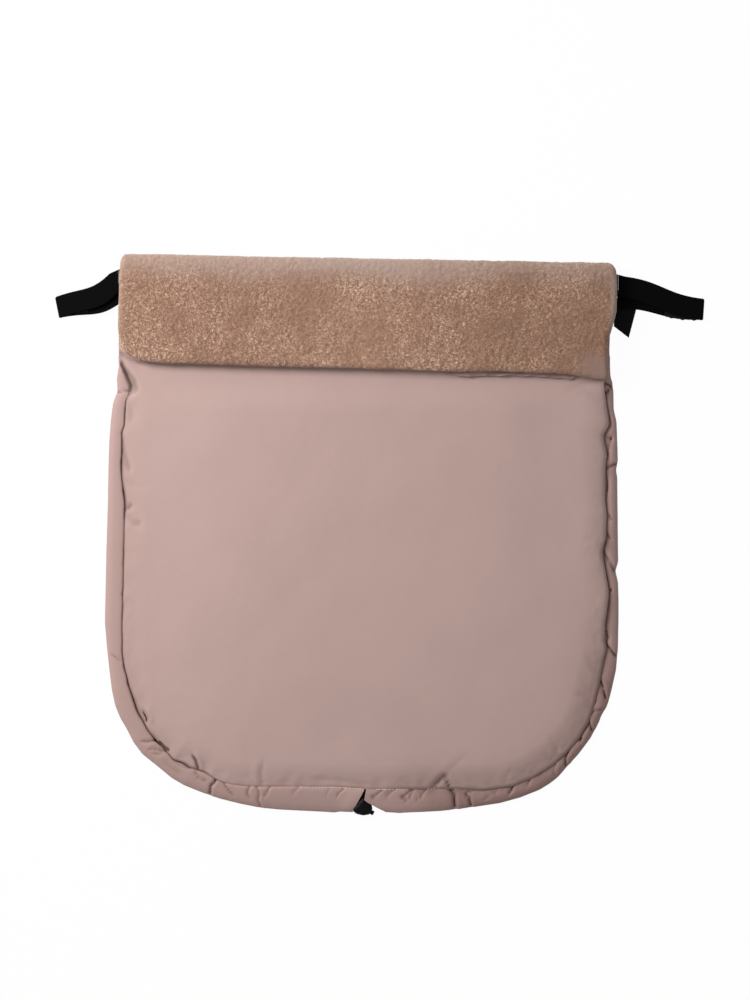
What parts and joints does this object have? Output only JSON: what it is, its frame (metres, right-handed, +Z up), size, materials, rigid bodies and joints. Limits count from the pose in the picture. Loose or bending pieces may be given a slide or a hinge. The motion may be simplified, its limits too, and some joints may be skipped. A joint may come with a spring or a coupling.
{
  "type": "car seat blanket",
  "caption": "Padded apron blanket for a child carrier: turned-down fleece cuff, gathered drawcord rim with cord lock, and two side straps that close with hook and loop.",
  "frame": {"origin": "on the underside of the fleece lining, midway between the fold and the lower edge and midway across the body", "axes": "+Z up out of the outer shell, +Y from the gathered lower edge to the fold, +X to the side that has the label; the blanket lies flat with its fleece down"},
  "size_m": [0.7625, 0.6522, 0.0294],
  "materials": {
    "shell_cloth": "smooth woven polyester with a soft sheen",
    "fleece_pile": "short curly plush pile",
    "wadding": "white fibre wadding",
    "webbing": "black woven webbing",
    "hook_tape": "black hook and loop tape",
    "label": "bare black satin tape",
    "cord": "black braided elastic cord",
    "lock_plastic": "black moulded plastic",
    "spring_steel": "bright spring wire"
  },
  "bodies": {
    "blanket": {"outer_shell": "shell_cloth", "wadding": "wadding", "lining_fleece": "fleece_pile", "rim_casing_left": "shell_cloth", "rim_casing_right": "shell_cloth", "drawcord_left": "cord", "drawcord_right": "cord", "cord_knot": "cord", "fold_shell": "shell_cloth", "fold_wadding": "wadding", "fold_fleece": "fleece_pile", "side_label": "label", "strap_anchor_left": "webbing", "strap_anchor_right": "webbing"},
    "cuff": {"cuff_shell": "shell_cloth", "cuff_wadding": "wadding", "cuff_fleece": "fleece_pile"},
    "strap_left": {"strap_base_left": "webbing", "loop_patch_left": "hook_tape", "strap_turn_left": "webbing"},
    "strap_left_tail": {"strap_tail_left": "webbing", "hook_patch_left": "hook_tape"},
    "strap_right": {"strap_base_right": "webbing", "loop_patch_right": "hook_tape", "strap_turn_right": "webbing"},
    "strap_right_tail": {"strap_tail_right": "webbing", "hook_patch_right": "hook_tape"},
    "cord_lock": {"cord_lock_barrel": "lock_plastic", "cord_lock_spring": "spring_steel"},
    "lock_plunger": {"cord_lock_plunger": "lock_plastic"}
  },
  "joints": [
    {"name": "cuff_fold", "type": "hinge", "parent": "blanket", "child": "cuff", "pos_m": [0, 0.3098, 0.0147], "axis": [-1, 0, 0], "range_deg": [0, 180], "deforming": ["fold_shell", "fold_wadding", "fold_fleece"]},
    {"name": "strap_left_swing", "type": "hinge", "parent": "blanket", "child": "strap_left", "pos_m": [-0.28155, 0.2948, 0.01455], "axis": [0, 1, 0], "range_deg": [0, 90]},
    {"name": "strap_left_peel", "type": "hinge", "parent": "strap_left", "child": "strap_left_tail", "pos_m": [-0.35127, 0.26491, 0.00435], "axis": [-0.3883, 0.9205, -0.0434], "range_deg": [0, 170], "deforming": ["strap_turn_left"]},
    {"name": "strap_right_swing", "type": "hinge", "parent": "blanket", "child": "strap_right", "pos_m": [0.29862, 0.2895, 0.01455], "axis": [0, -1, 0], "range_deg": [0, 90]},
    {"name": "strap_right_peel", "type": "hinge", "parent": "strap_right", "child": "strap_right_tail", "pos_m": [0.39657, 0.26219, 0.00402], "axis": [-0.2663, -0.9636, 0.0221], "range_deg": [0, 170], "deforming": ["strap_turn_right"]},
    {"name": "cord_lock_slide", "type": "slide", "parent": "blanket", "child": "cord_lock", "axis": [0.7071, -0.7071, 0], "range_m": [0, 0.0056]},
    {"name": "cord_lock_press", "type": "slide", "parent": "cord_lock", "child": "lock_plunger", "axis": [0.7071, 0.7071, 0], "range_m": [0, 0.002], "stiffness_N_per_m": 300, "springref_m": -0.001, "deforming": ["cord_lock_spring"]}
  ]
}
